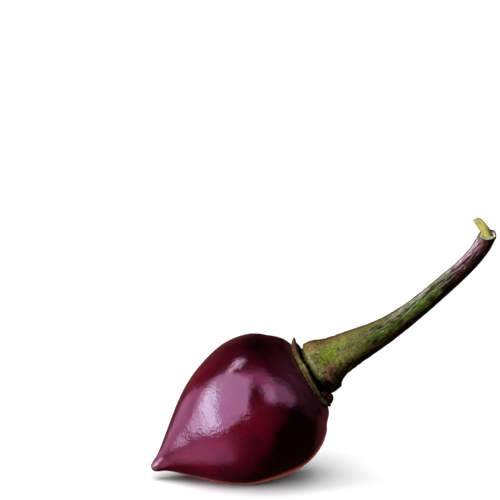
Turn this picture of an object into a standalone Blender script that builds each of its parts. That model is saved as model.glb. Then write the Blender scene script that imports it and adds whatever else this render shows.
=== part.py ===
"""A biquinho pepper as picked: a beaked pod, its calyx collar and the cut stalk.

The pod lies on a small flat spot on its belly, with the beak to the left (-X) and the stalk rising to
the right (+X). The origin is the centre of that flat spot, and +Z is up. Sizes are in millimetres in the
functions and become metres when a mesh is made.
"""

import math

import bmesh
import bpy
import numpy as np

MM = 0.001
CURVE_SAMPLES = 2000
SHARP_ANGLE = math.radians(40)
CUT_TOLERANCE = 1e-7

# The pod's axis runs from the beak's tip to the crown, and is tilted up from the surface.
POD_TILT = math.radians(32.9)
# The crown leans a little flatter, and the calyx and the stalk's foot with it.
CROWN_TILT = math.radians(29.5)
CROWN_LEAN_START = 23.0
FIT_GAP = 0.3

# The pod's outline: distance from the beak's tip along the axis, and radius there.
POD_OUTLINE = [
    (0.0, 0.0),
    (0.12, 0.4),
    (0.5, 0.7),
    (1.3, 1.08),
    (3.85, 3.05),
    (7.2, 5.8),
    (11.0, 8.18),
    (14.5, 9.38),
    (18.2, 9.84),
    (21.8, 8.85),
    (24.0, 6.65),
    (24.65, 5.1),
    (24.68, 4.2),
    (24.52, 2.8),
    (24.45, 0.0),
]
POD_RINGS = 32
POD_SIDES = 48
# How far the rings crowd together at the beak and at the crown, from 0 to 1.
POD_CROWDING = 0.5
# The pod is a little out of round: waves per turn, their height as a share of the radius, and phase.
POD_LOBES = [(2, 0.01, 0.6), (3, 0.009, 1.9)]
# The middle of the pod hangs this far below the straight line through the beak's tip.
BELLY_DROP = 0.57
BELLY_DROP_START = 1.0
BELLY_DROP_END = 9.0
# How much of the belly's roundness the flat spot takes off.
FLAT_DEPTH = 0.35

# The calyx is a shallow dish on the crown. Each point of its section has its height above the crown,
# its radius, and how far it follows the rim's waves and teeth.
CALYX_SECTION = [
    (0.3, 0.0, 0.0),
    (0.38, 2.8, 0.0),
    (0.56, 4.3, 0.0),
    (0.58, 4.66, 0.0),
    (0.72, 4.86, 0.1),
    (0.95, 4.94, 0.4),
    (1.2, 4.9, 0.9),
    (1.3, 4.66, 1.0),
    (1.15, 4.28, 0.7),
    (0.85, 3.95, 0.2),
    (0.7, 3.5, 0.0),
    (0.7, 0.0, 0.0),
]
CALYX_SIDES = 60
CALYX_RINGS = 18
# The rim's waves fade out over this width, inwards from this radius.
RIM_RADIUS = 4.6
RIM_WIDTH = 1.0
# The rim is this much higher on its lower side than at its top.
RIM_LOW_SIDE = 0.4
# The rim's ripples: waves per turn, height and phase.
RIM_RIPPLES = [(5, 0.06, 0.4), (8, 0.042, 2.1)]
# Each tooth of the rim: direction round the axis in degrees (0 is up), half width and size.
CALYX_TEETH = [
    (0.0, 17.0, 1.0),
    (78.0, 20.0, 0.4),
    (146.0, 24.0, 0.5),
    (-142.0, 26.0, 0.55),
    (-74.0, 22.0, 0.35),
]
# A tooth of size 1 rises this far above the rim and flares this far out.
TOOTH_RISE = 0.2
TOOTH_FLARE = 0.8
TOOTH_SHARPNESS = 1.25

# The stalk's foot stands in the dish: height above its own end face, and radius.
STALK_FOOT = [(0.0, 3.1), (0.5, 3.2), (0.9, 3.65), (1.3, 3.85)]
STALK_FOOT_LIFT = 0.3
# Past the foot: distance to the right of the beak's tip, height above it, and radius.
STALK_ROUTE = [
    (23.4, 14.78, 3.78),
    (24.2, 15.35, 3.25),
    (26.8, 16.85, 2.46),
    (31.0, 19.1, 1.82),
    (35.2, 21.9, 1.4),
    (39.85, 25.87, 1.23),
    (43.8, 29.6, 1.15),
    (45.0, 31.4, 1.2),
    (45.43, 32.57, 1.2),
]
STALK_RINGS = 34
STALK_SIDES = 30
STALK_CROWDING = 0.35
STALK_RIDGES = 5
# The ridges' height as a share of the radius. They rise from nothing between these shares of the length.
STALK_RIDGE_HEIGHT = 0.045
RIDGE_START = 0.02
RIDGE_FULL = 0.2
STALK_TWIST = math.radians(70)
# The stalk's middle swings this far towards the viewer's side.
STALK_SWING = 0.5

# The cut is nearly level, and tips a little to the right and to the viewer's side.
CUT_NORMAL = (0.1, -0.18, 0.98)
CUT_RIM = 0.82
# The last rings slide into the cut's plane by these shares, the end ring first.
CUT_SHEAR = (1.0, 0.7, 0.35)
# The bark stands up in a lip on one side of the cut: 0 is to the right, a quarter turn is behind.
BARK_LIP = 0.55
BARK_LIP_DIRECTION = math.radians(40)
BARK_LIP_SHARPNESS = 3

# The torn sliver stands on the cut face: each point is right of, behind and above the cut's centre.
SLIVER_ROUTE = [
    (0.0, 0.25, -0.8),
    (-0.1, 0.3, 0.3),
    (-0.7, 0.3, 1.2),
    (-1.2, 0.25, 1.75),
    (-1.6, 0.15, 2.15),
]
SLIVER_WIDTH = 1.0
SLIVER_THICKNESS = 0.62
SLIVER_ACROSS = (0.86, 0.0, 0.5)
# Each ring's share of the sliver's width, from the root to the blunt tip.
SLIVER_TAPER = (1.0, 1.0, 1.0, 1.02, 1.0, 0.88, 0.55)
SLIVER_SIDES = 10

POD_COLOUR = (0.075, 0.004, 0.018, 1.0)
POD_ROUGHNESS = 0.22
CALYX_COLOUR = (0.16, 0.13, 0.045, 1.0)
CALYX_ROUGHNESS = 0.6
STALK_COLOUR = (0.2, 0.25, 0.06, 1.0)
STALK_ROUGHNESS = 0.5


def clear_scene():
    """Removes the objects that the scene starts with."""
    for thing in list(bpy.data.objects):
        bpy.data.objects.remove(thing, do_unlink=True)


def smooth_curve(points, count, ends=0.0):
    """Points along the natural cubic spline through the given ones.

    With ends at 0 they are evenly spaced, and towards 1 they crowd at both ends.
    """
    points = np.asarray(points, float)
    knots = np.concatenate([[0.0], np.cumsum(np.linalg.norm(np.diff(points, axis=0), axis=1))])
    gaps = np.diff(knots)
    last = len(points) - 1
    matrix = np.eye(last + 1)
    sides = np.zeros_like(points)
    for i in range(1, last):
        matrix[i, i - 1 : i + 2] = (gaps[i - 1], 2 * (gaps[i - 1] + gaps[i]), gaps[i])
        slope_after = (points[i + 1] - points[i]) / gaps[i]
        slope_before = (points[i] - points[i - 1]) / gaps[i - 1]
        sides[i] = 6 * (slope_after - slope_before)
    bends = np.linalg.solve(matrix, sides)
    fine = np.linspace(0.0, knots[-1], CURVE_SAMPLES)
    part = np.clip(np.searchsorted(knots, fine, side="right") - 1, 0, last - 1)
    gap = gaps[part][:, None]
    after = (fine - knots[part])[:, None]
    before = gap - after
    line = (
        (bends[part] * before**3 + bends[part + 1] * after**3) / (6 * gap)
        + (points[part] / gap - bends[part] * gap / 6) * before
        + (points[part + 1] / gap - bends[part + 1] * gap / 6) * after
    )
    walked = np.concatenate([[0.0], np.cumsum(np.linalg.norm(np.diff(line, axis=0), axis=1))])
    share = np.linspace(0.0, 1.0, count)
    crowded = 0.5 - 0.5 * np.cos(math.pi * share)
    wanted = walked[-1] * ((1 - ends) * share + ends * crowded)
    return np.column_stack([np.interp(wanted, walked, column) for column in line.T])


def smooth_step(value, start, end):
    """0 before start, 1 after end, and a smooth rise between."""
    share = np.clip((value - start) / (end - start), 0.0, 1.0)
    return share * share * (3 - 2 * share)


def waves(angles, terms):
    """The sum of the waves in each direction, from their count per turn, height and phase."""
    return sum(height * np.cos(count * angles + phase) for count, height, phase in terms)


def axis_direction(tilt):
    """The unit direction of an axis that rises to the right at this tilt."""
    return np.array([math.cos(tilt), 0.0, math.sin(tilt)])


def round_axis(tilt, angles):
    """Unit directions across such an axis: 0 is up, a quarter turn is towards +Y."""
    up = np.array([-math.sin(tilt), 0.0, math.cos(tilt)])
    return np.cos(angles)[:, None] * up + np.sin(angles)[:, None] * np.array([0.0, 1.0, 0.0])


def pod_centre(distance):
    """The middle of the pod's cross-section at this distance from the beak's tip."""
    drop = BELLY_DROP * smooth_step(distance, BELLY_DROP_START, BELLY_DROP_END)
    down = -round_axis(POD_TILT, np.zeros(1))[0]
    return distance * axis_direction(POD_TILT) + drop * down


def above_crown(height):
    """The point on the crown's own axis at this height above the middle of the crown."""
    return pod_centre(POD_OUTLINE[-1][0]) + height * axis_direction(CROWN_TILT)


def turn_angles(sides):
    """Evenly spaced directions for a ring with this many sides."""
    return np.arange(sides) * (2 * math.pi / sides)


def mesh_object(name, rings, start, end, material):
    """A closed skin over the rings, with a fan of triangles from a point at each end."""
    sides = len(rings[0])
    body = bmesh.new()
    rows = [[body.verts.new(point * MM) for point in ring] for ring in rings]
    for lower, upper in zip(rows, rows[1:]):
        for i in range(sides):
            j = (i + 1) % sides
            body.faces.new((lower[i], lower[j], upper[j], upper[i]))
    for row, point in ((rows[0], start), (rows[-1], end)):
        middle = body.verts.new(point * MM)
        for i in range(sides):
            body.faces.new((row[i], row[(i + 1) % sides], middle))
    bmesh.ops.recalc_face_normals(body, faces=body.faces)
    mesh = bpy.data.meshes.new(name)
    body.to_mesh(mesh)
    body.free()
    mesh.shade_smooth()
    mesh.set_sharp_from_angle(angle=SHARP_ANGLE)
    mesh.materials.append(material)
    made = bpy.data.objects.new(name, mesh)
    bpy.context.scene.collection.objects.link(made)
    return made


def principled(name, colour, roughness):
    """A plain material with this colour and roughness."""
    material = bpy.data.materials.new(name)
    material.use_nodes = True
    shader = material.node_tree.nodes["Principled BSDF"]
    shader.inputs["Base Color"].default_value = colour
    shader.inputs["Roughness"].default_value = roughness
    shader.inputs["Metallic"].default_value = 0.0
    return material


def pod_skin_material():
    """Glossy dark purple skin."""
    return principled("pod_skin", POD_COLOUR, POD_ROUGHNESS)


def calyx_skin_material():
    """Dull olive-brown calyx."""
    return principled("calyx_skin", CALYX_COLOUR, CALYX_ROUGHNESS)


def stalk_bark_material():
    """Satin green stalk."""
    return principled("stalk_bark", STALK_COLOUR, STALK_ROUGHNESS)


def pod_ring(distance, radius, angles):
    """One slightly lobed ring of the pod, sheared to the crown's lean near the crown."""
    around = radius * (1 + waves(angles, POD_LOBES))
    share = smooth_step(distance, CROWN_LEAN_START, POD_OUTLINE[-1][0])
    lean = math.tan(POD_TILT - CROWN_TILT) * share * radius * np.cos(angles)
    across = around[:, None] * round_axis(POD_TILT, angles)
    return pod_centre(distance) + across + lean[:, None] * axis_direction(POD_TILT)


def make_pod():
    """The pod with its flat spot, and the centre of that spot."""
    angles = turn_angles(POD_SIDES)
    outline = smooth_curve(POD_OUTLINE, POD_RINGS, ends=POD_CROWDING)
    rings = [pod_ring(distance, radius, angles) for distance, radius in outline[1:-1]]
    tip = pod_centre(outline[0][0])
    crown = pod_centre(outline[-1][0])
    pod = mesh_object("pod", rings, tip, crown, pod_skin_material())
    return pod, cut_flat_spot(pod)


def cut_flat_spot(pod):
    """Cuts the lowest part of the belly off level, and gives the middle of the flat face it leaves."""
    body = bmesh.new()
    body.from_mesh(pod.data)
    level = min(vertex.co.z for vertex in body.verts) + FLAT_DEPTH * MM
    cut = bmesh.ops.bisect_plane(
        body,
        geom=body.verts[:] + body.edges[:] + body.faces[:],
        dist=CUT_TOLERANCE,
        plane_co=(0.0, 0.0, level),
        plane_no=(0.0, 0.0, -1.0),
        clear_outer=True,
    )
    rim = [item for item in cut["geom_cut"] if isinstance(item, bmesh.types.BMEdge)]
    face = bmesh.ops.contextual_create(body, geom=rim)["faces"][0]
    for vertex in face.verts:
        vertex.co.z = level
    middle = face.calc_center_median()
    bmesh.ops.recalc_face_normals(body, faces=body.faces)
    body.to_mesh(pod.data)
    body.free()
    pod.data.set_sharp_from_angle(angle=SHARP_ANGLE)
    return middle


def tooth_size(angles):
    """The size of the tooth that the calyx rim has in each direction, and 0 between the teeth."""
    found = np.zeros_like(angles)
    for direction, half_width, size in CALYX_TEETH:
        away = np.degrees(angles) - direction
        away = np.abs((away + 180.0) % 360.0 - 180.0)
        found = np.maximum(found, size * np.clip(1 - away / half_width, 0.0, 1.0) ** TOOTH_SHARPNESS)
    return found


def make_calyx():
    """The collar: a shallow dish with a wavy, toothed rim."""
    angles = turn_angles(CALYX_SIDES)
    teeth = tooth_size(angles)
    ripples = waves(angles, RIM_RIPPLES)
    rim_rise = TOOTH_RISE * teeth + ripples + 0.5 * RIM_LOW_SIDE * (1 - np.cos(angles))
    outline = smooth_curve(CALYX_SECTION, CALYX_RINGS)
    rings = []
    for height, radius, share in outline[1:-1]:
        edge = smooth_step(radius, RIM_RADIUS - RIM_WIDTH, RIM_RADIUS)
        around = radius + edge * ripples + share * TOOTH_FLARE * teeth
        rise = share * rim_rise[:, None] * axis_direction(CROWN_TILT)
        rings.append(above_crown(height) + around[:, None] * round_axis(CROWN_TILT, angles) + rise)
    bottom = above_crown(outline[0][0])
    top = above_crown(outline[-1][0])
    return mesh_object("calyx", rings, bottom, top, calyx_skin_material())


def stalk_frames(line):
    """Unit directions at each point of the stalk's line: along it, out of its bend, and to the side.

    Out of the bend is down at the foot and right at the cut, and the side is near +Y all along.
    """
    forward = np.gradient(line, axis=0)
    forward /= np.linalg.norm(forward, axis=1)[:, None]
    outward = np.cross(np.array([0.0, 1.0, 0.0]), forward)
    outward /= np.linalg.norm(outward, axis=1)[:, None]
    return forward, outward, np.cross(forward, outward)


def stalk_line():
    """The stalk's centre points and radii."""
    end_face = CALYX_SECTION[-1][0] + FIT_GAP
    lift = STALK_FOOT_LIFT * round_axis(CROWN_TILT, np.zeros(1))[0]
    route = [(*(above_crown(end_face + height) + lift), radius) for height, radius in STALK_FOOT]
    route += [(right, 0.0, height, radius) for right, height, radius in STALK_ROUTE]
    route = smooth_curve(route, STALK_RINGS, ends=STALK_CROWDING)
    share = np.linspace(0.0, 1.0, len(route))
    route[:, 1] = -STALK_SWING * np.sin(math.pi * share) ** 2
    return route[:, :3], route[:, 3]


def stalk_rings():
    """The ridged rings of the stalk, the last of them brought into the plane of the cut."""
    line, radii = stalk_line()
    forward, outward, side = stalk_frames(line)
    angles = turn_angles(STALK_SIDES)
    rings = []
    for i, (centre, radius) in enumerate(zip(line, radii)):
        share = i / (len(line) - 1)
        ridge = np.cos(STALK_RIDGES * angles + STALK_TWIST * share)
        depth = STALK_RIDGE_HEIGHT * smooth_step(share, RIDGE_START, RIDGE_FULL)
        around = (radius * (1 + depth * ridge))[:, None]
        across = np.cos(angles)[:, None] * outward[i] + np.sin(angles)[:, None] * side[i]
        rings.append(centre + around * across)
    level_rings(rings, line, forward)
    return rings, line[-1], angles


def level_rings(rings, line, forward):
    """Shears the last rings step by step, so that the end lies in the cut's plane."""
    normal = np.array(CUT_NORMAL) / np.linalg.norm(CUT_NORMAL)
    for back, amount in enumerate(CUT_SHEAR, start=1):
        away = (rings[-back] - line[-back]) @ normal
        slide = -amount * away / (forward[-back] @ normal)
        rings[-back] = rings[-back] + slide[:, None] * forward[-back]


def make_stalk():
    """The stalk with its trumpet foot, cut face, bark lip and torn sliver."""
    rings, cut, angles = stalk_rings()
    lip = np.clip(np.cos(angles - BARK_LIP_DIRECTION), 0.0, 1.0) ** BARK_LIP_SHARPNESS
    face = cut + (rings[-1] - cut) * CUT_RIM
    rings[-1] = rings[-1] + BARK_LIP * lip[:, None] * np.array([0.0, 0.0, 1.0])
    rings.append(face)
    foot = rings[0].mean(axis=0)
    stalk = mesh_object("stem", rings, foot, cut, stalk_bark_material())
    join(stalk, make_sliver(cut, stalk.data.materials[0]))
    return stalk


def make_sliver(cut, material):
    """A bent strap with a blunt tip, rooted in the cut face."""
    line = smooth_curve(SLIVER_ROUTE, len(SLIVER_TAPER))
    corners = turn_angles(SLIVER_SIDES)
    across = 0.5 * SLIVER_WIDTH * np.array(SLIVER_ACROSS)
    behind = 0.5 * SLIVER_THICKNESS * np.array([0.0, 1.0, 0.0])
    rings = []
    for point, share in zip(line, SLIVER_TAPER):
        ring = np.cos(corners)[:, None] * share * across + np.sin(corners)[:, None] * behind
        rings.append(cut + point + ring)
    return mesh_object("sliver", rings, cut + line[0], cut + line[-1], material)


def join(base, extra):
    """Unites the second object with the first, and removes it."""
    union = base.modifiers.new("join", "BOOLEAN")
    union.operation = "UNION"
    union.solver = "EXACT"
    union.object = extra
    graph = bpy.context.evaluated_depsgraph_get()
    joined = bpy.data.meshes.new_from_object(base.evaluated_get(graph))
    base.modifiers.clear()
    base.data = joined
    bpy.data.objects.remove(extra, do_unlink=True)


def move_meshes(things, offset):
    """Moves the meshes of these objects, so that their objects stay at the origin."""
    for thing in things:
        for vertex in thing.data.vertices:
            vertex.co = vertex.co - offset


def main():
    """Builds the pepper and puts the origin in the middle of its flat spot."""
    clear_scene()
    pod, rest_point = make_pod()
    calyx = make_calyx()
    stalk = make_stalk()
    move_meshes((pod, calyx, stalk), rest_point)


main()
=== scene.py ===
"""The looks of a biquinho pepper: glossy wine-purple pod, toothed calyx collar and ridged, cut stalk.

Every size of a piece is in millimetres, in the pepper's own frame, and becomes metres when a mesh is
made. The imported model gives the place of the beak's tip, and everything else is worked out from it.
"""

import logging
import math
from dataclasses import dataclass, field
from enum import Enum
from functools import cached_property
from typing import Sequence, Union

import bpy
import numpy as np
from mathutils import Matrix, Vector, noise


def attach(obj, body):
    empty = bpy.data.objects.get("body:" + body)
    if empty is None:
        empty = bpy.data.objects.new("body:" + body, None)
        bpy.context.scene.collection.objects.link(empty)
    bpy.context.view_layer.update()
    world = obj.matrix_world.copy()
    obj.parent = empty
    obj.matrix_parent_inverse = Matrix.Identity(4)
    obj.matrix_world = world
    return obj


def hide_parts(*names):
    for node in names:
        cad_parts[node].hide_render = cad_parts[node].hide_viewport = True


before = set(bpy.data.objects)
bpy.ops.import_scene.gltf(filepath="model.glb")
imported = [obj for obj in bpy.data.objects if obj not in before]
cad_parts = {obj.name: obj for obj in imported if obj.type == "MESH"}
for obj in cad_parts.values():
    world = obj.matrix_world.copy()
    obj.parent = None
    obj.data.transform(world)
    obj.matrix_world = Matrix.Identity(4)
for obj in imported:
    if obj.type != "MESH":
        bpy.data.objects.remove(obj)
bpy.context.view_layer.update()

log = logging.getLogger("biquinho")

MM = 0.001
BODY = "root"
CURVE_SAMPLES = 4000
UP = np.array([0.0, 0.0, 1.0])
BEHIND = np.array([0.0, 1.0, 0.0])

Array = np.ndarray
Rows = tuple[tuple[float, ...], ...]
Span = tuple[float, float]
Place = tuple[float, float, float]
Colour = tuple[float, float, float]
Object = bpy.types.Object
Socket = bpy.types.NodeSocket
Value = Union[Socket, float, Colour, Vector, None]


class Slot(Enum):
    """The names of the record's material slots."""

    POD = "pod_skin"
    CALYX = "calyx_skin"
    STALK = "stalk_bark"


# Geometry helpers


def unit(vectors: Sequence[float]) -> Array:
    """The vector, or each of several, at a length of 1."""
    return np.asarray(vectors) / np.linalg.norm(vectors, axis=-1, keepdims=True)


def walked_along(points: Array) -> Array:
    """The distance that is walked along the points to reach each of them."""
    return np.concatenate([[0.0], np.cumsum(np.linalg.norm(np.diff(points, axis=0), axis=1))])


def smooth_curve(points: Rows, count: int, ends: float = 0.0) -> Array:
    """Points along the natural cubic spline through the given ones.

    Args:
        points: The points that the curve goes through, each with any number of values.
        count: How many points to give back.
        ends: 0 spaces them evenly, and values towards 1 crowd them at both ends.

    Returns:
        An array of count rows.
    """
    given = np.asarray(points, float)
    knots = walked_along(given)
    gaps = np.diff(knots)
    slopes = np.diff(given, axis=0) / gaps[:, None]
    last = len(given) - 1
    matrix = np.eye(last + 1)
    sides = np.zeros_like(given)
    for i in range(1, last):
        matrix[i, i - 1 : i + 2] = (gaps[i - 1], 2 * (gaps[i - 1] + gaps[i]), gaps[i])
        sides[i] = 6 * (slopes[i] - slopes[i - 1])
    bends = np.linalg.solve(matrix, sides)
    fine = np.linspace(0.0, knots[-1], CURVE_SAMPLES)
    part = np.clip(np.searchsorted(knots, fine, side="right") - 1, 0, last - 1)
    gap = gaps[part][:, None]
    after = (fine - knots[part])[:, None]
    before = gap - after
    line = (
        (bends[part] * before**3 + bends[part + 1] * after**3) / (6 * gap)
        + (given[part] / gap - bends[part] * gap / 6) * before
        + (given[part + 1] / gap - bends[part + 1] * gap / 6) * after
    )
    walked = walked_along(line)
    share = np.linspace(0.0, 1.0, count)
    crowded = 0.5 - 0.5 * np.cos(math.pi * share)
    wanted = walked[-1] * ((1 - ends) * share + ends * crowded)
    return np.column_stack([np.interp(wanted, walked, column) for column in line.T])


def smooth_step(value: Array, start: float, end: float) -> Array:
    """0 where value is before start, 1 after end, and a smooth rise between."""
    share = np.clip((value - start) / (end - start), 0.0, 1.0)
    return share * share * (3 - 2 * share)


def waves(angles: Array, terms: Rows) -> Array:
    """The sum of the waves in each direction, from their count per turn, height and phase."""
    return sum(height * np.cos(count * angles + phase) for count, height, phase in terms)


def hump(away: Array, width: float) -> Array:
    """A bell that is 1 where away is 0 and falls to about a third at width."""
    return np.exp(-((away / width) ** 2))


def degrees_off(angles: Array, direction: Union[float, Array]) -> Array:
    """How many degrees each angle lies off a direction in degrees, the short way round."""
    return (np.degrees(angles) - direction + 180) % 360 - 180


def turn_angles(sides: int) -> Array:
    """Evenly spaced directions for a ring with this many sides."""
    return np.arange(sides) * (2 * math.pi / sides)


def axis_direction(tilt: float) -> Array:
    """The unit direction of an axis that rises to the right at this tilt."""
    return np.array([math.cos(tilt), 0.0, math.sin(tilt)])


def round_axis(tilt: float, angles: Union[float, Array]) -> Array:
    """Unit directions across such an axis: 0 is up, a quarter turn is behind."""
    up = np.array([-math.sin(tilt), 0.0, math.cos(tilt)])
    return np.cos(angles)[..., None] * up + np.sin(angles)[..., None] * BEHIND


@dataclass(frozen=True)
class Grain:
    """Smooth noise: how strong it is, the width of its features, a shift of its pattern and its layers."""

    strength: float
    width: float
    seed: float
    layers: int = 1

    def at(self, points: Array) -> Array:
        """Works out the noise, where each layer is half as wide and half as strong as the one before.

        Args:
            points: Positions, in millimetres, with any leading shape.

        Returns:
            Values about 0, in the points' leading shape.
        """
        flat = points.reshape(-1, 3) / self.width + self.seed
        total = np.zeros(len(flat))
        for layer in range(self.layers):
            fold = 2.0**layer
            total += np.array([noise.noise(Vector(point)) for point in flat * fold + 7.3 * layer]) / fold
        return self.strength * total.reshape(points.shape[:-1])


@dataclass(frozen=True)
class Stretch:
    """A stretch of the way round a piece: its direction and spread in degrees, and its strength."""

    direction: float
    spread: float
    strength: float = 1.0

    def at(self, angles: Array) -> Array:
        """The stretch's strength in each direction."""
        return self.strength * hump(degrees_off(angles, self.direction), self.spread)


def add_object(name: str, data: bpy.types.ID) -> Object:
    """Puts a mesh, a light or a camera into the scene.

    Args:
        name: The new object's name.
        data: What it shows.

    Returns:
        The object.
    """
    made = bpy.data.objects.new(name, data)
    bpy.context.scene.collection.objects.link(made)
    return made


@dataclass
class Tube:
    """A closed skin over rings of points, with numbers that its finish reads at each point."""

    name: str
    rings: Array
    start: Array
    end: Array
    traits: dict[str, Array]

    def build(self, offset: Array, *materials: bpy.types.Material, change: int = 0) -> Object:
        """Makes the object.

        Args:
            offset: Where the sizes' own zero lies in the frame.
            materials: The finish, or two of them.
            change: The row of faces where the second finish takes over.

        Returns:
            The new object, linked to the scene.
        """
        rows, sides = self.rings.shape[:2]
        points = np.concatenate([self.rings.reshape(-1, 3), [self.start], [self.end]])
        index = np.arange(rows * sides).reshape(rows, sides)
        after = np.roll(index, -1, axis=1)
        quads = np.stack([index[:-1], after[:-1], after[1:], index[1:]], axis=-1).reshape(-1, 4)
        first = [(after[0, i], index[0, i], rows * sides) for i in range(sides)]
        last = [(index[-1, i], after[-1, i], rows * sides + 1) for i in range(sides)]
        mesh = bpy.data.meshes.new(self.name)
        mesh.from_pydata(((points + offset) * MM).tolist(), [], [*quads.tolist(), *first, *last])
        for trait, values in self.traits.items():
            whole = np.concatenate([values.reshape(-1), [values[0].mean(), values[-1].mean()]])
            layer = mesh.attributes.new(trait, "FLOAT", "POINT")
            layer.data.foreach_set("value", whole.astype(np.float32))
        for material in materials:
            mesh.materials.append(material)
        if len(materials) > 1:
            second = np.concatenate([np.arange(rows - 1) >= change, [False, True]])
            mesh.polygons.foreach_set("material_index", np.repeat(second, sides).astype(np.int32))
        mesh.shade_smooth()
        mesh.validate()
        mesh.update()
        return add_object(self.name, mesh)


# Node helpers


class Graph:
    """The nodes of a material, a light or the room, with a short call for each kind that is used here."""

    def __init__(self, owner: Union[bpy.types.Material, bpy.types.Light, bpy.types.World]) -> None:
        """Turns on the nodes of their owner."""
        owner.use_nodes = True
        self.tree = owner.node_tree

    def feed(self, socket: Socket, value: Value) -> None:
        """Links or sets a socket.

        Args:
            socket: The input.
            value: The output to link it to, a plain number, vector or colour, or None to leave it as it is.
        """
        if isinstance(value, bpy.types.NodeSocket):
            self.tree.links.new(value, socket)
        elif isinstance(value, tuple):
            socket.default_value = (*value, 1.0) if len(socket.default_value) == 4 else value
        elif value is not None:
            socket.default_value = value

    def add(self, kind: str, *values: Value, out: str = "", **settings: str) -> Socket:
        """Adds a node.

        Args:
            kind: Its type, without the word that every shader node's type starts with.
            values: What its inputs in use are fed, in their order, with None for one that stays as it is.
            out: The output that is wanted, where it isn't the first in use.
            settings: What its own settings are set to.

        Returns:
            The output.
        """
        made = self.tree.nodes.new("ShaderNode" + kind)
        for name, setting in settings.items():
            setattr(made, name, setting)
        for socket, value in zip([socket for socket in made.inputs if socket.enabled], values):
            self.feed(socket, value)
        return made.outputs[out] if out else next(socket for socket in made.outputs if socket.enabled)

    def set(self, name: str, value: Value) -> None:
        """Feeds one of the Principled shader's sockets."""
        self.feed(self.tree.nodes["Principled BSDF"].inputs[name], value)

    def trait(self, name: str) -> Socket:
        """A number that the mesh holds at each point, or 0 where it holds none of this name."""
        return self.add("Attribute", out="Fac", attribute_name=name)

    def place(self) -> Socket:
        """The position on the piece, in millimetres."""
        return self.scaled(self.add("TexCoord", out="Object"), 1 / MM)

    def fibre_place(self) -> Socket:
        """The position along and across the fibres, as the mesh holds it."""
        return self.add("CombineXYZ", *(self.trait(name) for name in ("across_x", "across_y", "length")))

    def noise(self, at: Value, size: float, detail: float = 2, rough: float = 0.5, bend: float = 0) -> Socket:
        """Noise with features of this size in millimetres, from 0 to 1."""
        return self.add("TexNoise", at, 1 / size, detail, rough, None, bend)

    def range(self, value: Value, low: float, high: float, to_low: float = 0, to_high: float = 1) -> Socket:
        """Value carried smoothly from low..high to to_low..to_high, and held there outside."""
        return self.add("MapRange", value, low, high, to_low, to_high, interpolation_type="SMOOTHSTEP")

    def plus(self, a: Value, b: Value) -> Socket:
        """The sum of two numbers."""
        return self.add("Math", a, b, operation="ADD")

    def times(self, a: Value, b: Value) -> Socket:
        """The product of two numbers."""
        return self.add("Math", a, b, operation="MULTIPLY")

    def between(self, share: Value, low: Value, high: Value) -> Socket:
        """The number that lies share of the way from low to high."""
        return self.add("Mix", share, low, high)

    def over(self, share: Value, under: Value, top: Value) -> Socket:
        """Top laid over under, as strongly as share says."""
        return self.add("Mix", share, under, top, data_type="RGBA")

    def scaled(self, colour: Value, factor: Value) -> Socket:
        """The colour or vector multiplied by factor."""
        return self.add("VectorMath", colour, factor, operation="SCALE")

    def bump(self, height: Socket, depth: float, under: Value = None) -> Socket:
        """A normal that shows height as relief of this depth in millimetres, on top of the one under it."""
        return self.add("Bump", 1.0, depth * MM, None, height, under)

    def coat(self, under: Value, trait: str, paint: Value, edge: Value = None, inset: float = 0.15) -> Socket:
        """Lays a paint over a colour where the mesh holds a trait.

        Args:
            under: What lies under the paint.
            trait: The trait's name.
            paint: The paint.
            edge: A pattern about 0 that frays the paint's edge, or None.
            inset: How far from 0 and 1 the frayed paint starts and is full.

        Returns:
            The colour of the whole.
        """
        share = self.trait(trait)
        if edge is not None:
            share = self.range(self.plus(share, edge), inset, 1 - inset)
        return self.over(share, under, paint)


# Finishes


@dataclass(frozen=True)
class Finish:
    """A finish, which fills in the nodes of a material of its name."""

    name: str = ""

    def material(self) -> bpy.types.Material:
        """Makes the material.

        Returns:
            The material, dressed.
        """
        made = bpy.data.materials.new(self.name)
        self.dress(Graph(made))
        return made

    def dress(self, graph: Graph) -> None:
        """Fills in the nodes, each finish in its own way."""
        raise NotImplementedError


@dataclass(frozen=True)
class PodSkin(Finish):
    """Glossy wine-purple skin with a crimson undertone that is partly painted light, painted shade, and fine
    orange peel.
    """

    name: str = "pod_skin"
    wine: Colour = (0.05, 0.0012, 0.007)
    # Partly the skin's undertone and partly painted light, where the key light falls.
    crimson: Colour = (0.095, 0.0016, 0.0095)
    # Painted shade: near black where the skin gets no light.
    painted_shade: Colour = (0.002, 0.0001, 0.0003)
    plum: Colour = (0.06, 0.0035, 0.02)
    beak: Colour = (0.1, 0.035, 0.016)
    roughness: float = 0.12
    crown_roughness: float = 0.42
    tint: Colour = (1.0, 0.5, 0.98)

    def dress(self, graph: Graph) -> None:
        """Lays the undertones and the painted shade over the wine, and fine flecks, swells, ripples and peel
        over the whole.

        Args:
            graph: The material's nodes.
        """
        place = graph.place()
        broad = graph.range(graph.noise(place, 5.0, 3.0, bend=0.4), 0.32, 0.70, -0.22, 0.22)
        colour = self.wine
        for trait in ("plum", "crimson", "painted_shade"):
            colour = graph.coat(colour, trait, getattr(self, trait), broad)
        colour = graph.coat(colour, "beak", self.beak)
        flecks = graph.range(graph.noise(place, 0.22), 0.25, 0.75, 0.80, 1.20)
        graph.set("Base Color", graph.scaled(colour, flecks))
        wear = graph.noise(place, 1.4, 3.0)
        worn = graph.range(wear, 0.3, 0.75, self.roughness - 0.02, self.roughness + 0.05)
        graph.set("Roughness", graph.between(graph.trait("crown"), worn, self.crown_roughness))
        graph.set("Specular Tint", self.tint)
        graph.set("IOR", 1.5)
        swell = graph.bump(graph.noise(place, 1.5, 1.0), 0.045)
        ripple = graph.times(graph.noise(place, 0.48, bend=0.5), graph.trait("ripple"))
        wavy = graph.bump(ripple, 0.075, swell)
        graph.set("Normal", graph.bump(graph.noise(place, 0.28, 1.5), 0.0165, wavy))


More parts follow.
